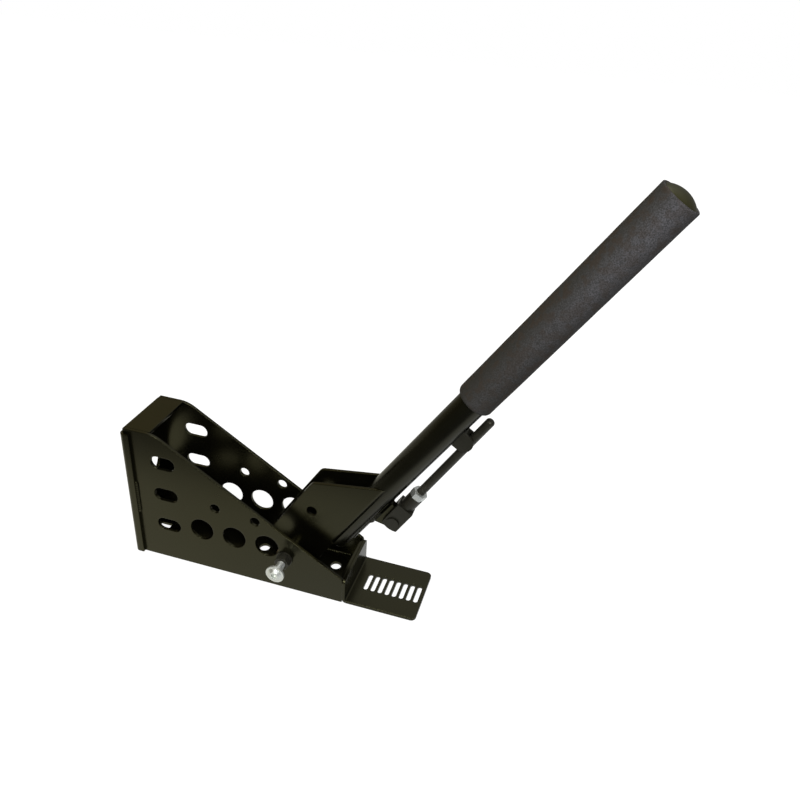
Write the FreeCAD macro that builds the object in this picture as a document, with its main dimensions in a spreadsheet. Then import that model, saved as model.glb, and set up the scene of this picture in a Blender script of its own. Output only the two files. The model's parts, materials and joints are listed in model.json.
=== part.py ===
"""Upright lever for a parking brake, in a welded sheet steel housing.

Millimetres. X points to the front of the vehicle, Y to its left and Z up. The origin is on
the mounting face, midway between the four base holes.

The housing is two slanted side plates, a folded end plate for the brake cylinder, a folded
base plate and a front bracket with a row of slots. The lever turns on a long bolt between
the side plates. Its tube carries a foam grip, two wing plates that push the brake cylinder
and a hinged strut. The strut rests in a clip on the tube, and it props the pulled lever
against one of the slots.
"""
import FreeCAD, Part
import math
import os
from types import SimpleNamespace

import Sketcher
from FreeCAD import Placement, Rotation, Vector

doc = FreeCAD.newDocument("parking_brake_lever")

# Driving dimensions
ROWS = (
    ("sheet", 3, "thickness of every steel sheet"),
    ("bend_inside", 1.5, "inside radius of the folds"),
    ("housing_width", 65, "over the outer faces of the side plates"),
    ("side_length", 221, "rear face of the housing to the front edge of a side plate"),
    ("side_height", 145.5, "height of a side plate at its rear"),
    ("front_height", 28, "height of a side plate at its front"),
    ("shoulder_length", 33.5, "rear face to the corner where the top slopes down"),
    ("shoulder_radius", 30, "rounding of that corner"),
    ("nose_radius", 4, "rounding of a side plate's front corner"),
    ("origin_from_rear", 160.5, "rear face to the origin"),
    ("round_hole", 24, "diameter of the row of large lightening holes"),
    ("round_hole_start", 76.8, "rear face to the first large hole"),
    ("round_hole_pitch", 34, "spacing of the large holes"),
    ("round_hole_height", 47, "height of the large holes"),
    ("drain_hole", 10, "diameter of the two small lightening holes"),
    ("drain_rear_place", 92.5, "rear face to the rear small hole"),
    ("drain_rear_drop", 31.5, "sloping edge to the middle of the rear small hole, straight down"),
    ("drain_front_place", 133.5, "rear face to the front small hole"),
    ("drain_front_drop", 9.8, "sloping edge to the middle of the front small hole, straight down"),
    ("louvre_place", 41, "rear face to the middle of the stacked openings"),
    ("louvre_length", 25, "length of a stacked opening"),
    ("louvre_width", 14, "width of a stacked opening"),
    ("louvre_height", 42, "height of the lowest stacked opening"),
    ("louvre_pitch", 36.5, "spacing of the stacked openings"),
    ("end_flange", 9.5, "depth of the end plate's side flanges, with the sheet"),
    ("top_flange", 29, "depth of the end plate's top flange, with the sheet"),
    ("flange_gap", 0.3, "top flange to each side plate"),
    ("cylinder_bore", 42, "diameter of the brake cylinder's hole in the end plate"),
    ("cylinder_height", 85, "height of the cylinder's axis"),
    ("cylinder_bolt_spacing", 57, "between the cylinder's two bolt holes"),
    ("cylinder_bolt_hole", 8.5, "diameter of those holes"),
    ("base_hole", 10.5, "diameter of the four base holes"),
    ("base_hole_length", 78, "spacing of the base holes along the vehicle"),
    ("base_hole_width", 20, "spacing of the base holes across the vehicle"),
    ("base_notch_length", 13, "depth of the line notch at the base's rear edge"),
    ("base_notch_width", 18, "width of that notch"),
    ("upright_height", 27, "height of the two front folds"),
    ("upright_corner", 3.5, "rounding of the bracket's upper corners"),
    ("tongue_length", 70, "front bracket's upright to the end of its tongue"),
    ("tongue_corner", 5, "rounding of the tongue's front corners"),
    ("slot_start", 13.5, "bracket's upright to the middle of the first slot"),
    ("slot_pitch", 7.2, "spacing of the eight slots"),
    ("slot_width", 4.5, "width of a slot"),
    ("slot_length", 23, "length of a slot"),
    ("pivot_from_rear", 163, "rear face to the lever's pivot"),
    ("pivot_height", 37, "height of the lever's pivot"),
    ("pivot_thread", 8, "diameter of the pivot bolt"),
    ("bolt_stand_off", 21, "side plate to the underside of the bolt's flange"),
    ("bolt_flange", 17.8, "diameter of the bolt's flange"),
    ("bolt_flange_edge", 2, "thickness of that flange"),
    ("bolt_dome", 14, "diameter of the bolt's domed head, on the flange"),
    ("bolt_head_height", 2.4, "height of the dome above the flange"),
    ("bolt_crown", 8.6, "diameter of the dome's flat top"),
    ("bolt_socket", 5, "across the flats of the bolt's hexagon socket"),
    ("bolt_socket_depth", 2.6, "depth of that socket"),
    ("hexagon", 13, "across the flats of the hexagons"),
    ("nut_height", 6.5, "height of a plain nut"),
    ("lock_nut_height", 8, "height of the self-locking nut"),
    ("lock_collar", 2, "height of its nylon collar"),
    ("lock_collar_outside", 11.7, "diameter of that collar"),
    ("bolt_overhang", 2.5, "bolt end past the self-locking nut"),
    ("thread_chamfer", 1, "chamfer at the end of a bolt or a pin"),
    ("thread_play", 0.1, "radial gap between a nut and its bolt"),
    ("washer_outside", 16, "diameter of a washer"),
    ("washer_edge", 1.6, "thickness of a washer"),
    ("bolt_hole_play", 0.2, "radial gap between the bolt and what it passes through"),
    ("lever_lean", 32.9, "angle of the resting lever from upright, towards the front"),
    ("tube_outside", 26, "outside diameter of the lever's tube"),
    ("tube_wall", 2, "wall of the lever's tube"),
    ("tube_offset", 26.5, "pivot to the tube's axis"),
    ("tube_start", 35.5, "pivot to the tube's lower end, along the tube"),
    ("tube_length", 428, "length of the lever's tube"),
    ("wing_gap", 20, "between the two wing plates"),
    ("wing_depth", 27.5, "pivot to the wing's rear edge"),
    ("wing_shoulder", 78, "pivot to the wing's upper rear corner, along the tube"),
    ("wing_top", 125.5, "pivot to the wing's top at the tube, along the tube"),
    ("wing_corner", 8, "rounding of the wing's upper rear corner"),
    ("wing_heel", 20, "pivot to the wing's lower edge"),
    ("wing_heel_corner", 9, "rounding of the wing's lower corners"),
    ("push_pin_hole", 10, "diameter of the hole for the cylinder's clevis pin"),
    ("push_pin_rise", 50.8, "pivot to that hole, along the tube"),
    ("push_pin_back", 9.9, "pivot to that hole, across the tube"),
    ("sleeve_outside", 20, "diameter of the sleeve round the pivot"),
    ("bush_outside", 14, "diameter of a bush's barrel and of the sleeve's bore"),
    ("bush_barrel", 14, "length of a bush's barrel"),
    ("bush_flange", 2, "thickness of a bush's flange"),
    ("bush_side_play", 0.4, "bush flange to side plate"),
    ("bush_running_play", 0.05, "radial gap between bolt and bush"),
    ("grip_outside", 33.3, "diameter of the foam grip"),
    ("grip_above_clip", 26.2, "clip's upper end to the foam grip"),
    ("grip_overhang", 2, "foam grip's upper end past the tube's end"),
    ("grip_rounding", 2.5, "rounding of the grip's ends"),
    ("plug_play", 0.5, "radial gap between the end plug's rim and the foam"),
    ("plug_rim", 1.5, "thickness of the end plug's rim"),
    ("plug_dome", 3.5, "height of the end plug's dome above its rim"),
    ("plug_stem", 14, "length of the end plug inside the tube"),
    ("lug_thickness", 6, "thickness of the lug that carries the strut"),
    ("lug_low", 76, "pivot to the lug's lower corner on the tube"),
    ("lug_high", 114, "pivot to the lug's upper corner on the tube"),
    ("lug_eye", 8, "hinge pin's middle to the lug's outer edges"),
    ("lug_corner", 7.2, "rounding of the lug's outer corners"),
    ("hinge_rise", 96.5, "pivot to the strut's hinge, along the tube"),
    ("hinge_offset", 26, "tube's axis to the strut's hinge"),
    ("hinge_pin", 8, "diameter of the strut's hinge pin"),
    ("hinge_play", 0.05, "radial gap between the pin and the fork"),
    ("fork_width", 16, "side of the fork's square"),
    ("fork_slot", 8, "width of the fork's slot"),
    ("fork_end", 10, "hinge to the fork's open end"),
    ("fork_slot_end", 16, "hinge to the closed end of the fork's slot"),
    ("fork_square_end", 21, "hinge to the end of the fork's square"),
    ("fork_neck", 14, "diameter of the fork's round neck"),
    ("fork_reach", 36, "hinge to the end of the fork's neck"),
    ("fork_end_crown", 18, "radius that the fork's open end is turned to"),
    ("pin_head", 12, "diameter of the hinge pin's head"),
    ("pin_head_edge", 1, "thickness of that head"),
    ("pin_side_play", 0.3, "fork to the pin's head and to its ring"),
    ("pin_tail", 2.5, "pin's end past its ring"),
    ("ring_outside", 13, "diameter of the ring on the pin"),
    ("ring_edge", 1.2, "thickness of the ring on the pin"),
    ("rod_diameter", 8, "diameter of the strut's rod"),
    ("rod_start", 20, "hinge to the rod's lower end"),
    ("strut_reach", 146, "hinge to the rod's tip"),
    ("rod_nose", 3, "rounding of the rod's tip"),
    ("stow_angle", 1.6, "angle between the stowed rod and the tube"),
    ("clip_rise", 210.8, "pivot to the middle of the clip, along the tube"),
    ("clip_length", 17, "length of the clip along the tube"),
    ("clip_sheet", 1.6, "thickness of the clip"),
    ("clip_play", 0.4, "gap between the rod and each arm of the clip"),
    ("clip_reach", 3.5, "how far the clip's arms reach past the rod's axis"),
    ("clip_corner", 8, "rounding of the clip's arms"),
    ("rivet_shank", 4.8, "diameter of the clip's rivet"),
    ("rivet_head", 7.5, "diameter of the rivet's head"),
    ("rivet_head_edge", 1.8, "thickness of the rivet's head"),
    ("rivet_rim", 0.6, "thickness of that head at its rim"),
    ("rivet_flat", 3.8, "diameter of the flat on that head"),
    ("rivet_tail", 1, "rivet's end past the tube's wall"),
    ("weld_leg", 2.6, "leg of a weld bead"),
    ("weld_toe", 0.4, "thickness of a lug's bead where it runs out on the tube"),
    ("stitch_low", 50, "lower end of the stitch on the end flange"),
    ("stitch_length", 37, "length of the stitch on the end flange"),
    ("floor_stitch", 32, "length of each stitch on the floor"),
    ("floor_stitch_rear", 62, "rear face to the rear stitch on the floor"),
    ("floor_stitch_front", 11, "front stitch on the floor to the front edge of a side plate"),
)
SLOT_COUNT = 8
ROUND_HOLE_COUNT = 3
LOUVRE_COUNT = 3
HEXAGON_SIDES = 6
HEXAGON_BEVEL = 30

sheet = doc.addObject("Spreadsheet::Sheet", "Sizes")
for row, (alias, value, note) in enumerate(ROWS, start=1):
    sheet.set(f"A{row}", str(value))
    sheet.setAlias(f"A{row}", alias)
    sheet.set(f"B{row}", note)
doc.recompute()


class Size:
    """A number with the sheet expression that gives it, kept together through sums."""

    def __init__(self, value, text):
        self.value = value
        self.text = text

    def joined(self, other, sign, value, swapped=False):
        texts = [self.text, other.text if isinstance(other, Size) else repr(float(other))]
        if swapped:
            texts.reverse()
        return Size(value, f"({texts[0]} {sign} {texts[1]})")

    def __add__(self, other):
        return self.joined(other, "+", self.value + number(other))

    def __radd__(self, other):
        return self.joined(other, "+", number(other) + self.value, swapped=True)

    def __sub__(self, other):
        return self.joined(other, "-", self.value - number(other))

    def __rsub__(self, other):
        return self.joined(other, "-", number(other) - self.value, swapped=True)

    def __mul__(self, other):
        return self.joined(other, "*", self.value * number(other))

    def __rmul__(self, other):
        return self.joined(other, "*", number(other) * self.value, swapped=True)

    def __truediv__(self, other):
        return self.joined(other, "/", self.value / number(other))

    def __neg__(self):
        return Size(-self.value, f"(0 - {self.text})")


def number(size):
    return size.value if isinstance(size, Size) else float(size)


def cosine(angle):
    return Size(math.cos(math.radians(angle.value)), f"cos({angle.text})")


def sine(angle):
    return Size(math.sin(math.radians(angle.value)), f"sin({angle.text})")


def root(size):
    text = size.text if isinstance(size, Size) else repr(float(size))
    return Size(math.sqrt(number(size)), f"sqrt({text})")


S = SimpleNamespace(**{alias: Size(float(value), f"Sizes.{alias}") for alias, value, note in ROWS})

# Sizes that follow from the driving ones
half_width = S.housing_width / 2
half_inside = half_width - S.sheet
half_gap = S.wing_gap / 2
bend_outside = S.bend_inside + S.sheet
tube_radius = S.tube_outside / 2
pivot_x = S.pivot_from_rear - S.origin_from_rear
hinge_across = S.tube_offset + S.hinge_offset
strut_lean = S.lever_lean - S.stow_angle
tube_front = S.tube_offset + tube_radius
floor_hole_x = [S.origin_from_rear + side * S.base_hole_length / 2 for side in (-1, 1)]
grip_bottom = S.clip_rise + S.clip_length / 2 + S.grip_above_clip
grip_top = S.tube_start + S.tube_length + S.grip_overhang
stow_slope = sine(S.stow_angle) / cosine(S.stow_angle)
stowed_rod_across = hinge_across - (S.clip_rise - S.hinge_rise) * stow_slope
edge_slope = (S.side_height - S.front_height) / (S.side_length - S.shoulder_length)

UPRIGHT = Rotation()
ACROSS = Rotation(Vector(1, 0, 0), -90)
nodes = []


def bind(item, name, size):
    """Ties a feature's length to the sheet."""
    setattr(item, name, number(size))
    if isinstance(size, Size):
        item.setExpression(name, size.text)


def place(item, x=0, y=0, z=0, rotation=UPRIGHT):
    """Places a sub-part, with each coordinate tied to the sheet."""
    item.Placement = Placement(Vector(number(x), number(y), number(z)), rotation)
    for axis, size in (("x", x), ("y", y), ("z", z)):
        if isinstance(size, Size):
            item.setExpression(f"Placement.Base.{axis}", size.text)


def place_on_lever(item, across=0, rise=0, y=0, lean=S.lever_lean, turn=UPRIGHT):
    """Places a sub-part at a point of the lever, leaning with it or with the strut."""
    x = pivot_x + across * cosine(S.lever_lean) + rise * sine(S.lever_lean)
    z = S.pivot_height - across * sine(S.lever_lean) + rise * cosine(S.lever_lean)
    tilt = Rotation(Vector(0, 1, 0), number(lean))
    place(item, x, y, z, tilt * turn)
    if turn is UPRIGHT:
        item.setExpression("Placement.Rotation.Angle", lean.text)


def new_body(label):
    body = doc.addObject("PartDesign::Body", label)
    body.Label = label
    nodes.append(body)
    return body


def new_sketch(body, plane, offset=0):
    """An empty sketch on one of the body's own planes, or parallel to it."""
    sketch = body.newObject("Sketcher::SketchObject", body.Label + "_sketch")
    support = next(item for item in body.Origin.OriginFeatures if item.Role == plane)
    sketch.AttachmentSupport = [(support, "")]
    sketch.MapMode = "FlatFace"
    sketch.AttachmentOffset = Placement(Vector(0, 0, number(offset)), UPRIGHT)
    if isinstance(offset, Size):
        sketch.setExpression("AttachmentOffset.Base.z", offset.text)
    return sketch


def limit(sketch, kind, size, *points):
    """Adds a dimension to a sketch and ties it to the sheet."""
    index = sketch.addConstraint(Sketcher.Constraint(kind, *points, number(size)))
    if isinstance(size, Size):
        sketch.setExpression(f"Constraints[{index}]", size.text)


def fix_point(sketch, geometry, end, x, y):
    limit(sketch, "DistanceX", x, -1, 1, geometry, end)
    limit(sketch, "DistanceY", y, -1, 1, geometry, end)


def polygon(sketch, corners):
    """A closed outline of straight lines through the corners."""
    first = sketch.GeometryCount
    points = [Vector(number(x), number(y), 0) for x, y in corners]
    for start, end in zip(points, points[1:] + points[:1]):
        sketch.addGeometry(Part.LineSegment(start, end), False)
    for i, (x, y) in enumerate(corners):
        following = first + (i + 1) % len(corners)
        sketch.addConstraint(Sketcher.Constraint("Coincident", first + i, 2, following, 1))
        fix_point(sketch, first + i, 1, x, y)


def rectangle(sketch, left, bottom, right, top):
    polygon(sketch, [(left, bottom), (right, bottom), (right, top), (left, top)])


def circle(sketch, x, y, diameter):
    middle = Vector(number(x), number(y), 0)
    index = sketch.addGeometry(Part.Circle(middle, Vector(0, 0, 1), number(diameter) / 2), False)
    fix_point(sketch, index, 3, x, y)
    limit(sketch, "Diameter", diameter, index)


def obround(sketch, x, y, length, width, upright=False):
    """A slot with round ends about a middle point, lying along the sketch's X or Y."""
    reach = (length - width) / 2
    ends = ((x, y - reach), (x, y + reach)) if upright else ((x - reach, y), (x + reach, y))
    first_turn = math.pi if upright else math.pi / 2
    arcs = []
    for turned, (u, v) in zip((first_turn, first_turn + math.pi), ends):
        whole = Part.Circle(Vector(number(u), number(v), 0), Vector(0, 0, 1), number(width) / 2)
        arc = sketch.addGeometry(Part.ArcOfCircle(whole, turned, turned + math.pi), False)
        fix_point(sketch, arc, 3, u, v)
        limit(sketch, "Radius", width / 2, arc)
        for end in (1, 2):
            level = Sketcher.Constraint("Horizontal" if upright else "Vertical", arc, end, arc, 3)
            sketch.addConstraint(level)
        arcs.append(arc)
    low, high = (sketch.Geometry[arc] for arc in arcs)
    for low_end, high_end, start, end in (
        (1, 2, low.StartPoint, high.EndPoint),
        (2, 1, low.EndPoint, high.StartPoint),
    ):
        line = sketch.addGeometry(Part.LineSegment(start, end), False)
        sketch.addConstraint(Sketcher.Constraint("Coincident", line, 1, arcs[0], low_end))
        sketch.addConstraint(Sketcher.Constraint("Coincident", line, 2, arcs[1], high_end))


def hexagon(sketch, flats):
    corner = flats / root(3)
    turns = [2 * math.pi * i / HEXAGON_SIDES for i in range(HEXAGON_SIDES)]
    polygon(sketch, [(corner * math.cos(a), corner * math.sin(a)) for a in turns])


def crown(sketch, top, outer, corner, radius):
    """An arc from a point on the sketch's upright axis to an outer one, closed round a corner."""
    ends = [Vector(number(x), number(y), 0) for x, y in (top, outer, corner)]
    falls = ends[1].y < ends[0].y
    middle = Vector(0, ends[0].y + (-1 if falls else 1) * number(radius), 0)
    turns = sorted(math.atan2(end.y - middle.y, end.x) for end in ends[:2])
    whole = Part.Circle(middle, Vector(0, 0, 1), number(radius))
    sketch.addGeometry(Part.ArcOfCircle(whole, *turns), False)
    sketch.addGeometry(Part.LineSegment(ends[1], ends[2]), False)
    sketch.addGeometry(Part.LineSegment(ends[2], ends[0]), False)
    top_end, outer_end = (2, 1) if falls else (1, 2)
    sketch.addConstraint(Sketcher.Constraint("Coincident", 0, top_end, 2, 2))
    sketch.addConstraint(Sketcher.Constraint("Coincident", 0, outer_end, 1, 1))
    sketch.addConstraint(Sketcher.Constraint("Coincident", 1, 2, 2, 1))
    fix_point(sketch, 1, 1, *outer)
    fix_point(sketch, 2, 1, *corner)
    fix_point(sketch, 2, 2, *top)
    limit(sketch, "Radius", radius, 0)


def pad(body, sketch, length, middle=False, backwards=False):
    feature = body.newObject("PartDesign::Pad", body.Label + "_pad")
    feature.Profile = sketch
    feature.SideType = "Symmetric" if middle else "One side"
    feature.Reversed = backwards
    bind(feature, "Length", length)
    sketch.Visibility = False
    return feature


def cut(body, sketch, length=None, backwards=False):
    """Cuts a sketch to a depth, or through everything on both sides of it."""
    feature = body.newObject("PartDesign::Pocket", body.Label + "_pocket")
    feature.Profile = sketch
    feature.Reversed = backwards
    if length is None:
        feature.Type = "ThroughAll"
        feature.SideType = "Symmetric"
    else:
        feature.Type = "Length"
        bind(feature, "Length", length)
    return feature


def turn(body, sketch, groove=False):
    """Turns a sketch once round its own upright axis."""
    kind = "PartDesign::Groove" if groove else "PartDesign::Revolution"
    feature = body.newObject(kind, body.Label + "_turned")
    feature.Profile = sketch
    feature.ReferenceAxis = (sketch, ["V_Axis"])
    feature.Angle = 360
    return feature


def edges_at(body, along, places):
    """The names of the straight edges along one axis that pass through the given places."""
    found = []
    others = [axis for axis in range(3) if axis != along]
    doc.recompute()
    for index, edge in enumerate(body.Tip.Shape.Edges, start=1):
        if not isinstance(edge.Curve, Part.Line) or abs(edge.Curve.Direction[along]) < 0.999:
            continue
        point = edge.Vertexes[0].Point
        for place_on_section in places:
            offsets = [point[axis] - number(size) for axis, size in zip(others, place_on_section)]
            if math.hypot(*offsets) < 0.01:
                found.append(f"Edge{index}")
    return found


def round_edges(body, along, places, radius):
    edges = edges_at(body, along, places)
    base = body.Tip
    feature = body.newObject("PartDesign::Fillet", body.Label + "_rounding")
    feature.Base = (base, edges)
    bind(feature, "Radius", radius)
    return feature


def round_rims(body, height, radius, least=0):
    """Rounds the circular edges at one height of a turned piece, down to a least radius."""
    doc.recompute()
    edges = [
        f"Edge{index}"
        for index, edge in enumerate(body.Tip.Shape.Edges, start=1)
        if isinstance(edge.Curve, Part.Circle)
        and abs(edge.Curve.Center.z - number(height)) < 0.01
        and edge.Curve.Radius > number(least)
    ]
    base = body.Tip
    feature = body.newObject("PartDesign::Fillet", body.Label + "_rounding")
    feature.Base = (base, edges)
    bind(feature, "Radius", radius)
    return feature


def cope(body):
    """Cuts the tube's round shape out of a piece that is welded to it."""
    sketch = new_sketch(body, "XY_Plane")
    circle(sketch, S.tube_offset, 0, S.tube_outside)
    cut(body, sketch)


def edge_height(place_along):
    """Height of a side plate's sloping edge at a place along the housing."""
    return S.side_height - (place_along - S.shoulder_length) * edge_slope


# Housing

def side_plate(label, y):
    """One slanted side plate, with its front and rear edges against the folded plates."""
    body = new_body(label)
    sketch = new_sketch(body, "XZ_Plane")
    polygon(sketch, [
        (S.sheet, 0),
        (S.side_length, 0),
        (S.side_length, S.front_height),
        (S.shoulder_length, S.side_height),
        (S.sheet, S.side_height),
    ])
    pad(body, sketch, S.sheet)
    round_edges(body, 1, [(S.shoulder_length, S.side_height)], S.shoulder_radius)
    round_edges(body, 1, [(S.side_length, S.front_height)], S.nose_radius)
    holes = new_sketch(body, "XZ_Plane")
    for i in range(ROUND_HOLE_COUNT):
        circle(holes, S.round_hole_start + i * S.round_hole_pitch, S.round_hole_height, S.round_hole)
    for along, drop in (
        (S.drain_rear_place, S.drain_rear_drop),
        (S.drain_front_place, S.drain_front_drop),
    ):
        circle(holes, along, edge_height(along) - drop, S.drain_hole)
    circle(holes, S.pivot_from_rear, S.pivot_height, S.pivot_thread + 2 * S.bolt_hole_play)
    for i in range(LOUVRE_COUNT):
        height = S.louvre_height + i * S.louvre_pitch
        obround(holes, S.louvre_place, height, S.louvre_length, S.louvre_width)
    cut(body, holes)
    place(body, -S.origin_from_rear, y)


def rear_end_plate():
    """The folded end plate: a wall, two side flanges outside the plates and a top flange."""
    body = new_body("rear_end_plate")
    plan = new_sketch(body, "XY_Plane")
    outside = half_width + S.sheet
    polygon(plan, [
        (0, -outside),
        (S.end_flange, -outside),
        (S.end_flange, -half_width),
        (S.sheet, -half_width),
        (S.sheet, half_width),
        (S.end_flange, half_width),
        (S.end_flange, outside),
        (0, outside),
    ])
    pad(body, plan, S.side_height)
    half_flange = half_inside - S.flange_gap
    relief = new_sketch(body, "YZ_Plane")
    for side in (-1, 1):
        bottom = S.side_height - bend_outside
        rectangle(relief, side * half_flange, bottom, side * (outside + 1), S.side_height + 1)
    cut(body, relief)
    top = new_sketch(body, "XZ_Plane")
    rectangle(top, S.sheet, S.side_height - S.sheet, S.top_flange, S.side_height)
    pad(body, top, 2 * half_flange, middle=True)
    round_edges(body, 2, [(0, -outside), (0, outside)], bend_outside)
    round_edges(body, 1, [(0, S.side_height)], bend_outside)
    round_edges(body, 1, [(S.sheet, S.side_height - S.sheet)], S.bend_inside)
    holes = new_sketch(body, "YZ_Plane")
    circle(holes, 0, S.cylinder_height, S.cylinder_bore)
    for side in (-1, 1):
        height = S.cylinder_height + side * S.cylinder_bolt_spacing / 2
        circle(holes, 0, height, S.cylinder_bolt_hole)
    cut(body, holes)
    place(body, -S.origin_from_rear)


def base_plate():
    """The floor between the side plates, folded up at its front."""
    body = new_body("base_plate")
    profile = new_sketch(body, "XZ_Plane")
    polygon(profile, [
        (S.sheet, 0),
        (S.side_length, 0),
        (S.side_length, S.upright_height),
        (S.side_length - S.sheet, S.upright_height),
        (S.side_length - S.sheet, S.sheet),
        (S.sheet, S.sheet),
    ])
    pad(body, profile, 2 * half_inside, middle=True)
    round_edges(body, 1, [(S.side_length - S.sheet, S.sheet)], S.bend_inside)
    round_edges(body, 1, [(S.side_length, 0)], bend_outside)
    holes = new_sketch(body, "XY_Plane")
    for x in floor_hole_x:
        for side in (-1, 1):
            circle(holes, x, side * S.base_hole_width / 2, S.base_hole)
    half_notch = S.base_notch_width / 2
    rectangle(holes, S.sheet, -half_notch, S.sheet + S.base_notch_length, half_notch)
    cut(body, holes, 2 * S.sheet, backwards=True)
    place(body, -S.origin_from_rear)


def front_bracket():
    """The slotted bracket: an upright across the housing's front and a flat tongue."""
    body = new_body("front_bracket")
    rear = S.side_length
    front = rear + S.sheet + S.tongue_length
    profile = new_sketch(body, "XZ_Plane")
    polygon(profile, [
        (rear, 0),
        (front, 0),
        (front, S.sheet),
        (rear + S.sheet, S.sheet),
        (rear + S.sheet, S.upright_height),
        (rear, S.upright_height),
    ])
    pad(body, profile, S.housing_width, middle=True)
    round_edges(body, 1, [(rear + S.sheet, S.sheet)], S.bend_inside)
    round_edges(body, 1, [(rear, 0)], bend_outside)
    upper_corners = [(side * half_width, S.upright_height) for side in (-1, 1)]
    round_edges(body, 0, upper_corners, S.upright_corner)
    round_edges(body, 2, [(front, -half_width), (front, half_width)], S.tongue_corner)
    slots = new_sketch(body, "XY_Plane")
    for i in range(SLOT_COUNT):
        x = rear + S.sheet + S.slot_start + i * S.slot_pitch
        obround(slots, x, 0, S.slot_length, S.slot_width, upright=True)
    cut(body, slots)
    place(body, -S.origin_from_rear)


def housing_welds():
    """Stitches on the end flanges and along the floor, each a small three-sided bead."""
    body = new_body("housing_welds")
    leg = S.weld_leg
    for side in (-1, 1):
        flange = new_sketch(body, "XY_Plane", S.stitch_low)
        polygon(flange, [
            (S.end_flange, side * half_width),
            (S.end_flange + leg, side * half_width),
            (S.end_flange, side * (half_width + leg)),
        ])
        pad(body, flange, S.stitch_length)
        front_stitch = S.side_length - S.floor_stitch_front - S.floor_stitch
        for start in (S.floor_stitch_rear, front_stitch):
            floor = new_sketch(body, "YZ_Plane", start)
            polygon(floor, [
                (side * half_inside, S.sheet),
                (side * (half_inside - leg), S.sheet),
                (side * half_inside, S.sheet + leg),
            ])
            pad(body, floor, S.floor_stitch)
    place(body, -S.origin_from_rear)


side_plate("right_side_plate", -half_inside)
side_plate("left_side_plate", half_width)
rear_end_plate()
base_plate()
front_bracket()


# Pivot fasteners, each turned about its own Z and laid along Y

def break_corners(body, *faces):
    """Turns the corners off a hexagon at the given faces, each with its outward sign."""
    depth = (S.hexagon - S.hexagon / 2) * math.tan(math.radians(HEXAGON_BEVEL))
    for height, outward in faces:
        sketch = new_sketch(body, "XZ_Plane")
        polygon(sketch, [
            (S.hexagon / 2, height),
            (S.hexagon, height),
            (S.hexagon, height - outward * depth),
        ])
        turn(body, sketch, groove=True)


def nut(label, height):
    """A hexagon nut that stands on its local origin."""
    body = new_body(label)
    outline = new_sketch(body, "XY_Plane")
    hexagon(outline, S.hexagon)
    circle(outline, 0, 0, S.pivot_thread + 2 * S.thread_play)
    pad(body, outline, height)
    break_corners(body, (0, -1), (height, 1))
    return body


def pivot_bolt():
    """A flanged bolt from the right, through both plates, with its head standing clear."""
    body = new_body("pivot_bolt")
    grip = S.bolt_stand_off + S.housing_width + S.washer_edge + S.lock_nut_height + S.bolt_overhang
    profile = new_sketch(body, "XZ_Plane")
    polygon(profile, [
        (0, -S.bolt_flange_edge - S.bolt_head_height),
        (S.bolt_crown / 2, -S.bolt_flange_edge - S.bolt_head_height),
        (S.bolt_dome / 2, -S.bolt_flange_edge),
        (S.bolt_flange / 2, -S.bolt_flange_edge),
        (S.bolt_flange / 2, 0),
        (S.pivot_thread / 2, 0),
        (S.pivot_thread / 2, grip - S.thread_chamfer),
        (S.pivot_thread / 2 - S.thread_chamfer, grip),
        (0, grip),
    ])
    turn(body, profile)
    socket = new_sketch(body, "XY_Plane", -S.bolt_flange_edge - S.bolt_head_height)
    hexagon(socket, S.bolt_socket)
    cut(body, socket, S.bolt_socket_depth, backwards=True)
    place(body, pivot_x, -half_width - S.bolt_stand_off, S.pivot_height, ACROSS)


def pivot_nuts():
    jam = nut("pivot_jam_nut", S.nut_height)
    place(jam, pivot_x, -half_width - S.washer_edge - S.nut_height, S.pivot_height, ACROSS)
    lock = nut("pivot_lock_nut", S.lock_nut_height - S.lock_collar)
    collar = new_sketch(lock, "XY_Plane", S.lock_nut_height - S.lock_collar)
    circle(collar, 0, 0, S.lock_collar_outside)
    circle(collar, 0, 0, S.pivot_thread + 2 * S.thread_play)
    pad(lock, collar, S.lock_collar)
    place(lock, pivot_x, half_width + S.washer_edge, S.pivot_height, ACROSS)


def pivot_washers():
    body = new_body("pivot_washers")
    for start in (-half_width - S.washer_edge, half_width):
        sketch = new_sketch(body, "XY_Plane", start)
        circle(sketch, 0, 0, S.washer_outside)
        circle(sketch, 0, 0, S.pivot_thread + 2 * S.bolt_hole_play)
        pad(body, sketch, S.washer_edge)
    place(body, pivot_x, 0, S.pivot_height, ACROSS)


housing_welds()
pivot_bolt()
pivot_nuts()
pivot_washers()


# Lever: local X points across the tube to the strut, local Z up along the tube

def lever_tube():
    body = new_body("lever_tube")
    section = new_sketch(body, "XY_Plane", S.tube_start)
    circle(section, S.tube_offset, 0, S.tube_outside)
    circle(section, S.tube_offset, 0, S.tube_outside - 2 * S.tube_wall)
    pad(body, section, S.tube_length)
    rivet_hole = new_sketch(body, "YZ_Plane", S.tube_offset)
    circle(rivet_hole, 0, S.clip_rise, S.rivet_shank)
    cut(body, rivet_hole, S.tube_outside, backwards=True)
    place_on_lever(body)


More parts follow.
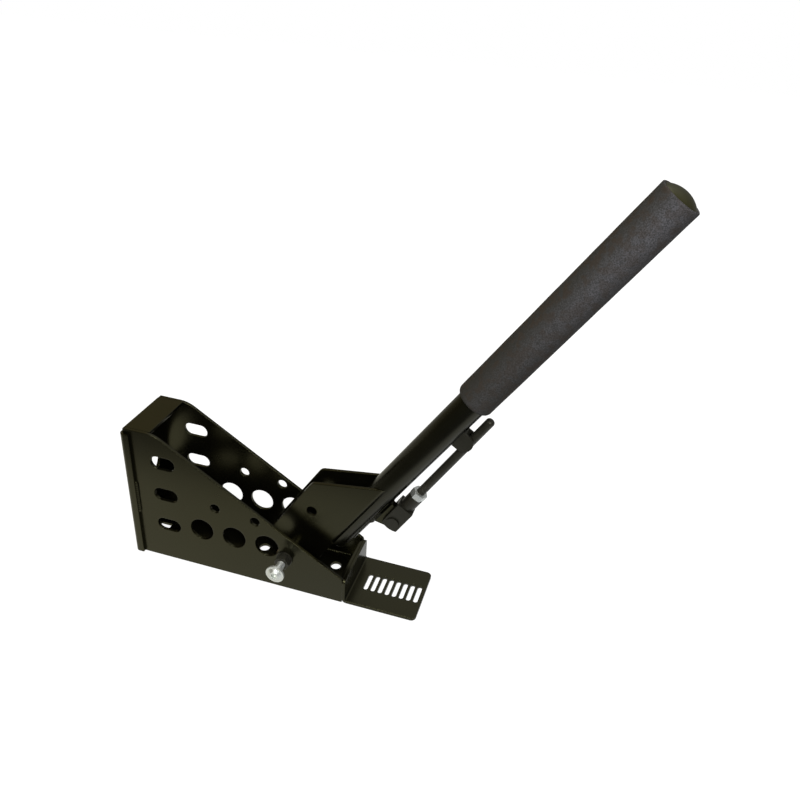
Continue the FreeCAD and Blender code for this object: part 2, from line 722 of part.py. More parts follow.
def wing_plate(label, side):
    """One plate from the pivot to the tube, with the hole for the cylinder's pin."""
    body = new_body(label)
    outline = new_sketch(body, "XZ_Plane")
    corners = [
        (-S.wing_depth, -S.wing_heel / 2),
        (-S.wing_depth / 2, -S.wing_heel),
        (S.tube_offset / 2, -S.wing_heel),
        (S.tube_offset, 0),
        (S.tube_offset, S.wing_top),
        (-S.wing_depth, S.wing_shoulder),
    ]
    polygon(outline, corners)
    pad(body, outline, S.sheet)
    round_edges(body, 1, corners[:4], S.wing_heel_corner)
    round_edges(body, 1, corners[5:], S.wing_corner)
    holes = new_sketch(body, "XZ_Plane")
    circle(holes, 0, 0, S.sleeve_outside)
    circle(holes, -S.push_pin_back, S.push_pin_rise, S.push_pin_hole)
    cut(body, holes)
    offset = half_gap + S.sheet if side > 0 else -half_gap
    cope_at = new_sketch(body, "XY_Plane", S.tube_start)
    circle(cope_at, S.tube_offset, -offset, S.tube_outside)
    cut(body, cope_at, S.tube_length, backwards=True)
    place_on_lever(body, y=offset)


def pivot_sleeve():
    """The sleeve welded through both wings."""
    body = new_body("pivot_sleeve")
    half = half_inside - S.bush_side_play - S.bush_flange
    section = new_sketch(body, "XZ_Plane")
    circle(section, 0, 0, S.sleeve_outside)
    circle(section, 0, 0, S.bush_outside)
    pad(body, section, 2 * half, middle=True)
    place_on_lever(body)


def pivot_bushes():
    """Two flanged bushes in the sleeve's ends, running on the bolt."""
    body = new_body("pivot_bushes")
    face = half_inside - S.bush_side_play
    bore = S.pivot_thread / 2 + S.bush_running_play
    for side in (-1, 1):
        profile = new_sketch(body, "XZ_Plane")
        inner = face - S.bush_flange
        polygon(profile, [
            (bore, side * face),
            (S.sleeve_outside / 2, side * face),
            (S.sleeve_outside / 2, side * inner),
            (S.bush_outside / 2, side * inner),
            (S.bush_outside / 2, side * (inner - S.bush_barrel)),
            (bore, side * (inner - S.bush_barrel)),
        ])
        turn(body, profile)
    place_on_lever(body, turn=ACROSS)


def foam_grip():
    body = new_body("foam_grip")
    section = new_sketch(body, "XY_Plane", grip_bottom)
    circle(section, 0, 0, S.grip_outside)
    circle(section, 0, 0, S.tube_outside)
    pad(body, section, grip_top - grip_bottom)
    for height in (grip_bottom, grip_top):
        round_rims(body, height, S.grip_rounding, tube_radius)
    place_on_lever(body, across=S.tube_offset)


def grip_end_plug():
    """The domed plug in the tube's upper end."""
    body = new_body("grip_end_plug")
    rim = tube_radius - S.plug_play
    stem = tube_radius - S.tube_wall
    dome_top = S.plug_rim + S.plug_dome
    ball = (S.plug_dome * S.plug_dome + rim * rim) / (2 * S.plug_dome)
    profile = new_sketch(body, "XZ_Plane")
    polygon(profile, [
        (0, -S.plug_stem),
        (stem, -S.plug_stem),
        (stem, 0),
        (rim, 0),
        (rim, S.plug_rim),
        (0, S.plug_rim),
    ])
    turn(body, profile)
    dome = new_sketch(body, "XZ_Plane")
    crown(dome, (0, dome_top), (rim, S.plug_rim), (0, S.plug_rim), ball)
    turn(body, dome)
    place_on_lever(body, across=S.tube_offset, rise=S.tube_start + S.tube_length)


def strut_lug():
    """The lug on the tube that carries the strut's hinge."""
    body = new_body("strut_lug")
    outline = new_sketch(body, "XZ_Plane")
    outer = hinge_across + S.lug_eye
    corners = [
        (S.tube_offset, S.lug_low),
        (outer, S.hinge_rise - S.lug_eye),
        (outer, S.hinge_rise + S.lug_eye),
        (S.tube_offset, S.lug_high),
    ]
    polygon(outline, corners)
    pad(body, outline, S.lug_thickness, middle=True)
    round_edges(body, 1, corners[1:3], S.lug_corner)
    hole = new_sketch(body, "XZ_Plane")
    circle(hole, hinge_across, S.hinge_rise, S.hinge_pin)
    cut(body, hole)
    cope(body)
    place_on_lever(body)


def rod_clip():
    """A channel on the tube whose two arms hold the stowed rod."""
    body = new_body("rod_clip")
    floor = tube_front + S.clip_sheet
    top = stowed_rod_across + S.clip_reach
    inside = S.rod_diameter / 2 + S.clip_play
    outside = inside + S.clip_sheet
    section = new_sketch(body, "XY_Plane", S.clip_rise - S.clip_length / 2)
    polygon(section, [
        (S.tube_offset, -outside),
        (top, -outside),
        (top, -inside),
        (floor, -inside),
        (floor, inside),
        (top, inside),
        (top, outside),
        (S.tube_offset, outside),
    ])
    pad(body, section, S.clip_length)
    ends = (S.clip_rise - S.clip_length / 2, S.clip_rise + S.clip_length / 2)
    round_edges(body, 1, [(top, end) for end in ends], S.clip_corner)
    hole = new_sketch(body, "YZ_Plane")
    circle(hole, 0, S.clip_rise, S.rivet_shank)
    cut(body, hole)
    cope(body)
    place_on_lever(body)


def clip_rivet():
    body = new_body("clip_rivet")
    reach = S.clip_sheet + S.tube_wall + S.rivet_tail
    profile = new_sketch(body, "XZ_Plane")
    polygon(profile, [
        (0, -reach),
        (S.rivet_shank / 2, -reach),
        (S.rivet_shank / 2, 0),
        (S.rivet_head / 2, 0),
        (S.rivet_head / 2, S.rivet_rim),
        (S.rivet_flat / 2, S.rivet_head_edge),
        (0, S.rivet_head_edge),
    ])
    turn(body, profile)
    outward = Rotation(Vector(0, 1, 0), 90)
    place_on_lever(body, across=tube_front + S.clip_sheet, rise=S.clip_rise, turn=outward)


def clevis_pin():
    """The strut's hinge pin, pressed in the lug."""
    body = new_body("clevis_pin")
    half = S.fork_width / 2 + S.pin_side_play
    end = half + S.ring_edge + S.pin_tail
    profile = new_sketch(body, "XZ_Plane")
    polygon(profile, [
        (0, -half - S.pin_head_edge),
        (S.pin_head / 2, -half - S.pin_head_edge),
        (S.pin_head / 2, -half),
        (S.hinge_pin / 2, -half),
        (S.hinge_pin / 2, end - S.thread_chamfer),
        (S.hinge_pin / 2 - S.thread_chamfer, end),
        (0, end),
    ])
    turn(body, profile)
    place_on_lever(body, across=hinge_across, rise=S.hinge_rise, turn=ACROSS)


def clevis_pin_ring():
    body = new_body("clevis_pin_ring")
    sketch = new_sketch(body, "XY_Plane", S.fork_width / 2 + S.pin_side_play)
    circle(sketch, 0, 0, S.ring_outside)
    circle(sketch, 0, 0, S.hinge_pin)
    pad(body, sketch, S.ring_edge)
    place_on_lever(body, across=hinge_across, rise=S.hinge_rise, turn=ACROSS)


def lug_welds():
    """Two beads along the lug's foot."""
    body = new_body("lug_welds")
    half = S.lug_thickness / 2
    toe = half + 2 * S.weld_leg
    surface = S.tube_offset + root(tube_radius * tube_radius - toe * toe)
    for side in (-1, 1):
        section = new_sketch(body, "XY_Plane", S.lug_low + S.weld_leg)
        polygon(section, [
            (S.tube_offset, side * half),
            (tube_front + S.weld_leg / 2, side * half),
            (surface + S.weld_toe, side * toe),
            (S.tube_offset, side * toe),
        ])
        pad(body, section, S.lug_high - S.lug_low - 2 * S.weld_leg)
    cope(body)
    place_on_lever(body)


lever_tube()
wing_plate("right_wing_plate", -1)
wing_plate("left_wing_plate", 1)
pivot_sleeve()
pivot_bushes()
foam_grip()
grip_end_plug()
strut_lug()
rod_clip()
clip_rivet()
clevis_pin()
clevis_pin_ring()
lug_welds()


# Strut: local Z runs from its hinge to the rod's tip

def strut_fork():
    """The fork: a square, turned down at its open end, with a round neck."""
    body = new_body("strut_fork")
    half = S.fork_width / 2
    square = new_sketch(body, "XZ_Plane")
    rectangle(square, -half, -S.fork_end, half, S.fork_square_end)
    pad(body, square, S.fork_width, middle=True)
    neck = new_sketch(body, "XY_Plane", S.fork_square_end)
    circle(neck, 0, 0, S.fork_neck)
    pad(body, neck, S.fork_reach - S.fork_square_end)
    slot = new_sketch(body, "YZ_Plane")
    rectangle(slot, -S.fork_slot / 2, -S.fork_end, S.fork_slot / 2, S.fork_slot_end)
    cut(body, slot)
    bores = new_sketch(body, "XZ_Plane")
    circle(bores, 0, 0, S.hinge_pin + 2 * S.hinge_play)
    cut(body, bores)
    thread = new_sketch(body, "XY_Plane", S.fork_slot_end)
    circle(thread, 0, 0, S.rod_diameter + 2 * S.thread_play)
    cut(body, thread, S.fork_reach, backwards=True)
    outer = S.fork_width
    drop = S.fork_end_crown - root(S.fork_end_crown * S.fork_end_crown - outer * outer)
    turned = new_sketch(body, "XZ_Plane")
    crown(turned, (0, -S.fork_end), (outer, drop - S.fork_end), (outer, -S.fork_end), S.fork_end_crown)
    turn(body, turned, groove=True)
    place_on_lever(body, across=hinge_across, rise=S.hinge_rise, lean=strut_lean)


def strut_rod():
    body = new_body("strut_rod")
    section = new_sketch(body, "XY_Plane", S.rod_start)
    circle(section, 0, 0, S.rod_diameter)
    pad(body, section, S.strut_reach - S.rod_start)
    round_rims(body, S.strut_reach, S.rod_nose)
    place_on_lever(body, across=hinge_across, rise=S.hinge_rise, lean=strut_lean)


def strut_lock_nut():
    body = nut("strut_lock_nut", S.nut_height)
    across = hinge_across - S.fork_reach * sine(S.stow_angle)
    rise = S.hinge_rise + S.fork_reach * cosine(S.stow_angle)
    place_on_lever(body, across=across, rise=rise, lean=strut_lean)


strut_fork()
strut_rod()
strut_lock_nut()


# Checks and export

doc.recompute()
for item in doc.Objects:
    if "Invalid" in item.State or "Error" in item.State:
        raise RuntimeError(f"{item.Name} did not build: {item.State}")
for body in nodes:
    if body.Shape.isNull() or not body.Shape.isValid():
        raise RuntimeError(f"{body.Label} has no valid shape")

os.makedirs("parts", exist_ok=True)
for body in nodes:
    body.Shape.exportStep(f"parts/{body.Label}.step")
    box = body.Shape.BoundBox
    print(
        f"{body.Label:18s} solids {len(body.Shape.Solids)} volume {body.Shape.Volume:10.1f}"
        f" x {box.XMin:7.1f} {box.XMax:7.1f} y {box.YMin:6.1f} {box.YMax:6.1f}"
        f" z {box.ZMin:6.1f} {box.ZMax:6.1f}"
    )
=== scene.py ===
# %% [markdown]
# # Upright parking brake lever
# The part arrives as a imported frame: 26 nodes on three bodies, which are the housing, the
# lever and the strut. This script dresses that frame. It adds the camera, a plain studio,
# the finishes, and the pieces whose real surface a plain solid can't show, such as foam and
# weld beads. Everything is in metres, in the frame's own axes: +X to the front of the
# vehicle, +Y to its left and +Z up.

# %% The frame
import json
import math
import random

import bmesh
import bpy
from mathutils import Matrix, Vector, noise


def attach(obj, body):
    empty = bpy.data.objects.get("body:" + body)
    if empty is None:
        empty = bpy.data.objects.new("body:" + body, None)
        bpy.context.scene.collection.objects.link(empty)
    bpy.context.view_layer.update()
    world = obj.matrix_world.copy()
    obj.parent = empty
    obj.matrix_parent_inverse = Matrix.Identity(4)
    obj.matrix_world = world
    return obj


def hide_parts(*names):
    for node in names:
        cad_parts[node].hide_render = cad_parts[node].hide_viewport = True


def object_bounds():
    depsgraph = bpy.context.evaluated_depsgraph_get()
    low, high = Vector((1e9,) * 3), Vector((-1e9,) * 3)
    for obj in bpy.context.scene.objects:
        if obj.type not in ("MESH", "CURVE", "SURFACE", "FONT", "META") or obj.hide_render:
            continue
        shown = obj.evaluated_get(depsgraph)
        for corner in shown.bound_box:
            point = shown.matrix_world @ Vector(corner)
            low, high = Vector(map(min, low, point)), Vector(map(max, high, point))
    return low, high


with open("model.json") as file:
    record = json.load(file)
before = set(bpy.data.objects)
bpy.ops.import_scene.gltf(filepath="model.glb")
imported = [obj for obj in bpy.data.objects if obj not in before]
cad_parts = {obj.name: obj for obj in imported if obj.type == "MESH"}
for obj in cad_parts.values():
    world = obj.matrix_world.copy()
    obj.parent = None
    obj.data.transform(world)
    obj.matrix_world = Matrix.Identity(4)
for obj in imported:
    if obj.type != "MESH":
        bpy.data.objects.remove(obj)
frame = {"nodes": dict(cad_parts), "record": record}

MM = 0.001
nodes = frame["nodes"]
cad_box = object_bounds()
low_corner, high_corner = ([round(c, 4) for c in corner] for corner in cad_box)
print(len(nodes), "nodes, from", low_corner, "to", high_corner)

# %% [markdown]
# ## The camera
# The photograph looks down on the part from its right and a little from the front. A
# camera could be placed by eye, but a wrong lens or distance bends every proportion at
# once. Its place, aim and roll were therefore fitted to the straight edges and holes of
# the part, so that the frame lands on the same lines as the object.

# %% Camera
CAMERA_PLACE = Vector((233.9, -535.0, 543.7)) * MM
CAMERA_AIM = Vector((95.9, 0.0, 215.7)) * MM
CAMERA_ROLL = math.radians(4.04)
FOCAL_PIXELS = 765.7
PICTURE_SIDE = 800
NEAREST = 0.01
FARTHEST = 50

camera_data = bpy.data.cameras.new("camera")
camera_data.sensor_width = 36
camera_data.lens = FOCAL_PIXELS / PICTURE_SIDE * camera_data.sensor_width
camera_data.clip_start = NEAREST
camera_data.clip_end = FARTHEST
camera = bpy.data.objects.new("camera", camera_data)
aimed = (CAMERA_AIM - CAMERA_PLACE).to_track_quat("-Z", "Y").to_matrix().to_4x4()
rolled = Matrix.Rotation(CAMERA_ROLL, 4, "Z")
camera.matrix_world = Matrix.Translation(CAMERA_PLACE) @ aimed @ rolled
bpy.context.scene.collection.objects.link(camera)
bpy.context.scene.camera = camera
bpy.context.scene.view_settings.view_transform = "Standard"
print("lens", round(camera_data.lens, 2), "mm")


# %% [markdown]
# ## Shader maths as plain expressions
# A finish could be drawn as a web of nodes, but it is easier to read as a formula.
# `Signal` wraps one output socket, so that `grain * 0.3 + 0.5` adds its own Math nodes.
# `Finish` holds one material and adds every other kind of node. Both only shorten the
# writing: the result is an ordinary node tree.

# %% Signals
class Signal:
    """One output socket of a node tree. Sums and products of it add Math nodes."""

    def __init__(self, finish, socket):
        self.finish = finish
        self.socket = socket

    def maths(self, operation, *values):
        inputs = dict(enumerate(values))
        return self.finish.node("ShaderNodeMath", {"operation": operation}, inputs)

    def __add__(self, other):
        return self.maths("ADD", self, other)

    __radd__ = __add__

    def __mul__(self, other):
        return self.maths("MULTIPLY", self, other)

    __rmul__ = __mul__

    def __sub__(self, other):
        return self.maths("SUBTRACT", self, other)

    def __rsub__(self, other):
        return self.maths("SUBTRACT", other, self)

    def wave(self):
        """A sine of it, from 0 to 1."""
        return self.maths("SINE", self) * 0.5 + 0.5

    def fade(self, start, end, low=0.0, high=1.0):
        """A smooth step from one level to another between two values of it."""
        settings = {"interpolation_type": "SMOOTHSTEP"}
        inputs = {"Value": self, "From Min": start, "From Max": end, "To Min": low, "To Max": high}
        return self.finish.node("ShaderNodeMapRange", settings, inputs)


# %% Finishes
BEVEL_SAMPLES = 8


class Finish:
    """A material in the making, with its main shader ready."""

    def __init__(self, name, **sockets):
        self.material = bpy.data.materials.new(name)
        self.material.use_nodes = True
        self.tree = self.material.node_tree
        self.shader = self.tree.nodes["Principled BSDF"]
        for socket, value in sockets.items():
            self.put(self.shader, socket.replace("_", " "), value)

    def put(self, node, key, value):
        """Sets one input of a node to a value, or links a signal to it."""
        if isinstance(value, Signal):
            self.tree.links.new(value.socket, node.inputs[key])
        else:
            node.inputs[key].default_value = value

    def node(self, kind, settings=None, inputs=None, output=0):
        """Adds a node, sets it, feeds its inputs and gives back one of its outputs."""
        made = self.tree.nodes.new(kind)
        for name, value in (settings or {}).items():
            setattr(made, name, value)
        for key, value in (inputs or {}).items():
            self.put(made, key, value)
        return Signal(self, made.outputs[output])

    def place(self):
        """A point of the surface, in the frame's axes with the part at rest."""
        return self.node("ShaderNodeTexCoord", output="Object")

    def along(self, direction, start=None):
        """How far a point lies along a direction, in metres."""
        inputs = {0: start or self.place(), 1: direction}
        return self.node("ShaderNodeVectorMath", {"operation": "DOT_PRODUCT"}, inputs, "Value")

    def noise(self, size, detail=2.0, roughness=0.5):
        """Noise whose lumps are about one size across, in metres."""
        inputs = {
            "Vector": self.place(), "Scale": 1 / size, "Detail": detail, "Roughness": roughness
        }
        return self.node("ShaderNodeTexNoise", inputs=inputs)

    def cells(self, size):
        """Rounded pits of about one size, in metres."""
        return self.node("ShaderNodeTexVoronoi", inputs={"Vector": self.place(), "Scale": 1 / size})

    def blend(self, share, first, second):
        """A colour between two colours."""
        inputs = {0: share, 6: first, 7: second}
        return self.node("ShaderNodeMix", {"data_type": "RGBA"}, inputs, output=2)

    def bump(self, height, depth, strength=1.0, over=None):
        """Relief from a height signal, over another normal if one is given."""
        inputs = {"Height": height, "Distance": depth, "Strength": strength}
        if over is not None:
            inputs["Normal"] = over
        return self.node("ShaderNodeBump", inputs=inputs)

    def rounded(self, radius):
        """A normal that turns smoothly across every sharp edge."""
        return self.node("ShaderNodeBevel", {"samples": BEVEL_SAMPLES}, {"Radius": radius})

    def set(self, socket, value):
        """Sets or links one input of the main shader."""
        self.put(self.shader, socket, value)
        return self


def rgb(red, green, blue):
    """A colour as a socket takes it, with full alpha."""
    return (red, green, blue, 1.0)


WHITE = rgb(1, 1, 1)
print("Signal and Finish are ready")

# %% [markdown]
# ## Studio floor
# The photograph is a cut-out on pure white. Strong lamps on white paper could give that,
# but they would bleach the part too, so the floor is a sheet of matt paper that also glows
# a little for the camera: it stays white and still takes a faint shadow. Glossy black
# paint shows mostly what it reflects. A real sweep is brightest under the lamps and falls
# off towards the dark room, and that fall-off gives the tube its dark middle and its
# lighter band, so the paper that gloss sees falls off in the same way. It is a little
# warmer towards the rear of the part, as the olive reflections of the photograph are.

# %% Floor
FLOOR_SIDE = 8.0
FLOOR_DROP = 0.3 * MM
PAPER_GREY = rgb(0.30, 0.30, 0.30)
PAPER_WHITE = 1.0
PAPER_UNDER_PART = 0.90
PART_SHADE_ENDS = (0.25, 0.9)
SWEEP_LEVEL = 0.71
SWEEP_NEAR = -0.12
SWEEP_FAR = -0.23
SWEEP_DARK = 0.10
BEYOND_ENDS = (0.15, 0.60)
BEYOND_LEVEL = 0.45
SWEEP_TINT_ENDS = (-0.12, 0.10)
SWEEP_WARM = rgb(1.0, 0.98, 0.84)
SWEEP_COOL = rgb(0.99, 1.0, 1.02)

half = FLOOR_SIDE / 2
floor_outline = ((-half, -half), (half, -half), (half, half), (-half, half))
floor_corners = [(x, y, -FLOOR_DROP) for x, y in floor_outline]
floor_mesh = bpy.data.meshes.new("floor")
floor_mesh.from_pydata(floor_corners, [], [(0, 1, 2, 3)])
floor = bpy.data.objects.new("floor", floor_mesh)
bpy.context.scene.collection.objects.link(floor)
print("floor", FLOOR_SIDE, "m")

# %% Paper
paper = Finish("studio_paper", Base_Color=PAPER_GREY, Roughness=0.9, Specular_IOR_Level=0.0)
seen = paper.node("ShaderNodeLightPath", output="Is Camera Ray")
through = paper.node("ShaderNodeLightPath", output="Is Transmission Ray")
mirrored = paper.node("ShaderNodeLightPath", output="Is Glossy Ray")
to_left = paper.along((0, 1, 0))
to_front = paper.along((1, 0, 0))
sweep = to_left.fade(SWEEP_FAR, SWEEP_NEAR, SWEEP_DARK, SWEEP_LEVEL)
beyond = to_left.fade(*BEYOND_ENDS, 1.0, BEYOND_LEVEL)
outward = paper.node("ShaderNodeVectorMath", {"operation": "LENGTH"}, {0: paper.place()}, "Value")
white = outward.fade(*PART_SHADE_ENDS, PAPER_UNDER_PART, PAPER_WHITE)
swept = paper.blend(to_front.fade(*SWEEP_TINT_ENDS), SWEEP_WARM, SWEEP_COOL)
tint = paper.blend(mirrored, WHITE, swept)
strength = (seen + through) * white + mirrored * sweep * beyond
glow = paper.node("ShaderNodeEmission", inputs={"Color": tint, "Strength": strength})
plain = Signal(paper, paper.shader.outputs[0])
matt = paper.node("ShaderNodeAddShader", inputs={0: plain, 1: glow})
paper_mix = paper.node("ShaderNodeMixShader", inputs={0: mirrored, 1: matt, 2: glow})
paper.put(paper.tree.nodes["Material Output"], "Surface", paper_mix)
floor.data.materials.append(paper.material)
print("paper of", len(paper.tree.nodes), "nodes")

# %% [markdown]
# ## Sky and lamps
# A picture of a studio could light the part, but a few soft lamps and a plain sky are
# easier to set one at a time. The sky is a dim room with a large soft panel behind the
# part: level sheet such as the tongue mirrors that panel, and the top of the end plate
# mirrors the dim room. Towards the rear the room is brown, which tints the gloss there.
# The key lamp stands near the camera, so the foam is brightest along its middle and the
# sheet's rounded edges catch a thin line of light.

# %% Sky
ROOM = 0.09
PANEL_LOW = 0.10
PANEL_HIGH = 0.48
PANEL_RISE = (0.45, 0.75)
PANEL_SIDE = (-0.15, 0.35)
BROWN_ENDS = (-0.45, -0.25)
ROOM_BROWN = rgb(1.0, 0.86, 0.46)


class Sky(Finish):
    """The world's node tree, treated like a finish."""

    def __init__(self, world):
        self.tree = world.node_tree
        self.shader = self.tree.nodes["Background"]


world = bpy.data.worlds.new("sky")
world.use_nodes = True
bpy.context.scene.world = world
sky = Sky(world)
direction = sky.node("ShaderNodeTexCoord", output="Generated")
upward = sky.along((0, 0, 1), direction)
leftward = sky.along((0, 1, 0), direction)
panel = upward.fade(*PANEL_RISE, PANEL_LOW, PANEL_HIGH)
level = leftward.fade(*PANEL_SIDE) * panel + ROOM
straight = sky.node("ShaderNodeLightPath", output="Is Camera Ray")
clear = sky.node("ShaderNodeLightPath", output="Is Transmission Ray")
direct = straight + clear
frontward = sky.along((1, 0, 0), direction)
brown = sky.blend(frontward.fade(*BROWN_ENDS), ROOM_BROWN, WHITE)
sky.set("Color", sky.blend(direct, brown, WHITE))
sky.set("Strength", level * (1 - direct) + direct)
print("sky from", ROOM, "to", round(ROOM + PANEL_HIGH, 2))


# %% Lamps
LAMPS = {  # name: (place, width and height in metres, watts)
    "key": ((-0.15, -0.95, 1.30), 0.30, 1.1, 9.5),
    "front": ((0.70, -0.95, 0.95), 0.5, 0.5, 7),
    "top": ((0.05, 0.35, 1.65), 0.9, 0.9, 3),
}
middle = (cad_box[0] + cad_box[1]) / 2


def soft_lamp(name, place, width, height, watts):
    """An area lamp that looks at the middle of the part."""
    data = bpy.data.lights.new(name, "AREA")
    data.shape = "RECTANGLE"
    data.size = width
    data.size_y = height
    data.energy = watts
    lamp = bpy.data.objects.new(name, data)
    lamp.location = place
    lamp.rotation_euler = (middle - Vector(place)).to_track_quat("-Z", "Y").to_euler()
    bpy.context.scene.collection.objects.link(lamp)


for name, lamp in LAMPS.items():
    soft_lamp(name, *lamp)
print(len(LAMPS), "lamps")

# %% [markdown]
# ## Powder coat
# The sheet steel has a semi-gloss black powder coat. One flat black would look like
# plastic: up close such a coat has a fine orange peel about a millimetre across, and a
# slight change of gloss where it lies thicker. Both come from noise. The coat itself is
# nearly pure black: the olive grey of the photograph is the room in its gloss, so the tint
# goes into the reflection. Laser cut and folded sheet never has a perfectly sharp edge
# either, because the coat runs round it. Real bevels that fine would fill each plate with
# slivers, so a Bevel node turns the shading normal across the edge instead. Its radius of
# one millimetre is a little generous, so that the edge still shows at this distance.

# %% Powder coat
COAT_ROUND = 1.0 * MM
PEEL = 1.3 * MM
PEEL_RELIEF = 0.02 * MM
COAT_CLOUD = 22 * MM
COAT_THIN = rgb(0.0016, 0.0015, 0.0008)
COAT_THICK = rgb(0.0036, 0.0033, 0.0018)
SHEET_ROUGHNESS = 0.17
SHEET_TINT = rgb(1.0, 0.96, 0.50)
TUBE_ROUGHNESS = 0.15
TUBE_TINT = rgb(1.0, 0.97, 0.66)


def powder_coat(name, smoothest, tint):
    """Black paint, as smooth as one roughness or duller, with a tinted reflection."""
    finish = Finish(name, Specular_Tint=tint)
    peel = finish.noise(PEEL, detail=1.5)
    cloud = finish.noise(COAT_CLOUD)
    finish.set("Roughness", cloud * 0.10 + peel * 0.05 + smoothest)
    finish.set("Base Color", finish.blend(cloud, COAT_THIN, COAT_THICK))
    finish.set("Normal", finish.bump(peel, PEEL_RELIEF, 0.5, finish.rounded(COAT_ROUND)))
    return finish.material


sheet_coat = powder_coat("black_powder_coat", SHEET_ROUGHNESS, SHEET_TINT)
tube_coat = powder_coat("black_tube_coat", TUBE_ROUGHNESS, TUBE_TINT)
print("coat rounds edges by", round(COAT_ROUND / MM, 1), "mm")

# %% Coated nodes
SLOTS = {row["node"]: row["material_slot"] for row in frame["record"]["subparts"]}


def dress(node, material):
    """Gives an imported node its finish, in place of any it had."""
    nodes[node].data.materials.clear()
    nodes[node].data.materials.append(material)


for name, slot in SLOTS.items():
    if slot == "black_powder_coat":
        dress(name, sheet_coat)
dress("lever_tube", tube_coat)
print("coated", sum(slot == "black_powder_coat" for slot in SLOTS.values()), "nodes")

# %% [markdown]
# ## Threads
# The strut's rod and the bolt are threaded. A modelled helix would be thousands of faces
# for ridges that are only a pixel or two wide, at a pitch of 1.25 mm. Here a thread is a
# sine along the shank that feeds the bump, and it fades out at both ends of the thread.

# %% Threads
THREAD_PITCH = 1.25 * MM
THREAD_DEPTH = 0.35 * MM
STRUT_LEAN = math.radians(31.3)
STRUT_LINE = Vector((math.sin(STRUT_LEAN), 0, math.cos(STRUT_LEAN)))
STRUT_HINGE = Vector((98.996, 0, 89.507)) * MM
ROD_THREAD = 54 * MM
BOLT_LINE = Vector((0, 1, 0))
BOLT_THREAD = (-52 * MM, 60 * MM)


def thread(finish, direction, start, end):
    """Ridges round a shank, between two heights along its direction."""
    height = finish.along(direction)
    ridges = (height * (2 * math.pi / THREAD_PITCH)).wave()
    return ridges * height.fade(start, start + MM) * height.fade(end - MM, end, 1.0, 0.0)


strut_foot = STRUT_LINE.dot(STRUT_HINGE)
print("rod thread starts", round(strut_foot / MM, 1), "mm along the strut's line")

# %% [markdown]
# ## Blackened steel, zinc, bronze and plastic
# The strut's fork, rod and clip are darkened steel, duller than the paint, and so are the
# nut against the near plate and the washers. The bolt, its lock nut and the strut's lock
# nut are bright zinc plate with a faint blue passivation. The bushes are dark oiled
# bronze. Flat colours would do from far off. Noise in the colour and the roughness breaks
# the reflections up as handled metal does, and costs no geometry.

# %% Steel and zinc
STEEL_TINT = rgb(1.0, 0.98, 0.78)
STEEL_TONES = ((0.013, 0.0125, 0.009), (0.027, 0.026, 0.020))
ZINC_BLUE = rgb(0.74, 0.80, 0.82)
ZINC_PALE = rgb(0.96, 0.96, 0.86)
METAL_RELIEF = 0.6


def metal_relief(finish, grain, threads):
    """A fine grain on a metal, with a thread over it if one is given."""
    height = grain if threads is None else grain + thread(finish, *threads)
    finish.set("Normal", finish.bump(height, THREAD_DEPTH, METAL_RELIEF))


def blackened_steel(name, threads=None, shade=1.0):
    finish = Finish(name, Specular_Tint=STEEL_TINT)
    grain = finish.noise(0.9 * MM, detail=3.0)
    cloud = finish.noise(9 * MM)
    tones = [rgb(*(shade * part for part in tone)) for tone in STEEL_TONES]
    finish.set("Base Color", finish.blend(cloud, *tones))
    finish.set("Roughness", grain * 0.16 + cloud * 0.10 + 0.30)
    metal_relief(finish, grain * 0.1, threads)
    return finish.material


def bright_zinc(name, threads=None):
    finish = Finish(name, Metallic=0.85)
    cloud = finish.noise(3 * MM, detail=3.0)
    scratch = finish.noise(0.35 * MM)
    finish.set("Base Color", finish.blend(cloud, ZINC_BLUE, ZINC_PALE))
    finish.set("Roughness", scratch * 0.12 + cloud * 0.10 + 0.30)
    metal_relief(finish, scratch * 0.03, threads)
    return finish.material


print("steel and zinc defined")


# %% Bronze and plastic
BRONZE_DARK = rgb(0.13, 0.095, 0.055)
BRONZE_LIGHT = rgb(0.20, 0.15, 0.09)
PLASTIC_TINT = rgb(1.0, 0.98, 0.62)
PLASTIC_DARK = rgb(0.018, 0.0165, 0.004)
PLASTIC_LIGHT = rgb(0.030, 0.0275, 0.008)


def bronze():
    finish = Finish("bronze", Metallic=1.0, Roughness=0.38)
    grain = finish.noise(0.4 * MM, detail=3.0)
    finish.set("Base Color", finish.blend(grain, BRONZE_DARK, BRONZE_LIGHT))
    finish.set("Normal", finish.bump(grain, 0.01 * MM, 0.5))
    return finish.material


def black_plastic():
    finish = Finish("black_plastic", Specular_Tint=PLASTIC_TINT)
    spark = finish.noise(0.5 * MM)
    finish.set("Base Color", finish.blend(spark, PLASTIC_DARK, PLASTIC_LIGHT))
    finish.set("Roughness", spark * 0.12 + 0.30)
    finish.set("Normal", finish.bump(spark, 0.02 * MM, 0.5))
    return finish.material


print("bronze and plastic defined")

# %% Dressed metal and plastic nodes
FINISHES = {
    "blackened_steel": blackened_steel("blackened_steel"),
    "bright_zinc": bright_zinc("bright_zinc"),
    "bronze": bronze(),
    "black_plastic": black_plastic(),
}
for name, slot in SLOTS.items():
    if slot in FINISHES:
        dress(name, FINISHES[slot])
FORK_STEEL = blackened_steel("blackened_fork", shade=0.6)
for name in ("strut_fork", "clevis_pin"):
    dress(name, FORK_STEEL)
rod_thread = (STRUT_LINE, strut_foot, strut_foot + ROD_THREAD)
dress("strut_rod", blackened_steel("blackened_rod", rod_thread))
dress("pivot_bolt", bright_zinc("bright_bolt", (BOLT_LINE, *BOLT_THREAD)))
print(len(bpy.data.materials), "finishes")

